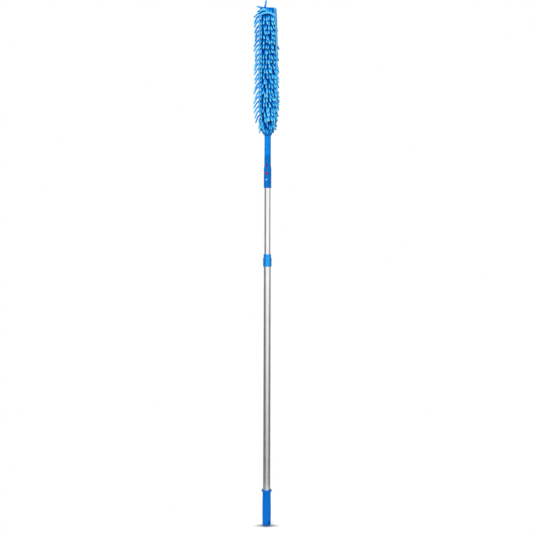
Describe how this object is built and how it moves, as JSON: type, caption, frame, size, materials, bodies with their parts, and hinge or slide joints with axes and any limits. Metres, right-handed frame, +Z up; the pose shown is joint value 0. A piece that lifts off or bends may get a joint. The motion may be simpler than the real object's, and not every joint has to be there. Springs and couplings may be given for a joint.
{
  "type": "telescopic chenille duster",
  "caption": "Hand duster with a washable chenille sleeve on a flat wand, a bendable ribbed neck, a telescopic twist-lock pole and a moulded grip with a hanging hole.",
  "frame": {"origin": "middle of the grip's flat end, on the pole's axis", "axes": "+Z up the pole towards the head; the hanging hole runs along Y; the head's broad side faces halfway between -X and -Y"},
  "size_m": [0.0716, 0.0716, 1.779],
  "materials": {
    "grip_plastic": "satin moulded",
    "blue_plastic": "satin moulded",
    "neck_rubber": "soft satin",
    "red_plastic": "glossy",
    "pale_blue_plastic": "satin",
    "white_nylon": "matt",
    "grey_nylon": "matt",
    "aluminium": "satin anodised",
    "spring_steel": "bright",
    "knitted_backing": "knitted",
    "chenille": "fuzzy chenille",
    "seam_tape": "woven"
  },
  "bodies": {
    "pole_lower": {"grip": "grip_plastic", "lower_tube": "aluminium", "lock_collar": "blue_plastic", "guide_ring": "white_nylon"},
    "cam_lock": {"cam_ring": "white_nylon"},
    "pole_upper": {"cam_plug": "grey_nylon", "upper_tube": "aluminium", "wand_socket": "blue_plastic", "key_stud": "pale_blue_plastic", "pole_button_spring": "spring_steel", "neck_button_spring": "spring_steel", "neck_stem": "blue_plastic", "flexible_neck": "neck_rubber", "core_wire_left": "spring_steel", "core_wire_right": "spring_steel"},
    "pole_release": {"pole_button": "red_plastic"},
    "neck_release": {"neck_button": "red_plastic"},
    "wand": {"neck_ferrule": "blue_plastic", "wand_paddle": "blue_plastic"},
    "sleeve": {"sleeve_backing": "knitted_backing", "pile_front": "chenille", "pile_back": "chenille", "seam_binding": "seam_tape", "sleeve_cuff": "chenille"}
  },
  "joints": [
    {"name": "telescope", "type": "slide", "parent": "pole_lower", "child": "cam_lock", "axis": [0, 0, 1], "range_m": [-0.2235, 0.45]},
    {"name": "lock_twist", "type": "hinge", "parent": "cam_lock", "child": "pole_upper", "pos_m": [0, 0, 0.3745], "axis": [0, 0, 1], "range_deg": [0, 120]},
    {"name": "pole_button_press", "type": "slide", "parent": "pole_upper", "child": "pole_release", "axis": [0.8829, 0.4695, 0], "range_m": [0, 0.0025], "stiffness_N_per_m": 400, "springref_m": -0.003, "deforming": ["pole_button_spring"]},
    {"name": "neck_button_press", "type": "slide", "parent": "pole_upper", "child": "neck_release", "axis": [0.8829, 0.4695, 0], "range_m": [0, 0.002], "stiffness_N_per_m": 400, "springref_m": -0.003, "deforming": ["neck_button_spring"]},
    {"name": "neck_bend", "type": "hinge", "parent": "pole_upper", "child": "wand", "pos_m": [0, 0, 1.338], "axis": [0.7071, -0.7071, 0], "range_deg": [-60, 60], "deforming": ["flexible_neck", "core_wire_left", "core_wire_right"]},
    {"name": "sleeve_pull", "type": "slide", "parent": "wand", "child": "sleeve", "axis": [0, 0, 1], "range_m": [0, 0.42], "deforming": ["sleeve_cuff"]}
  ]
}
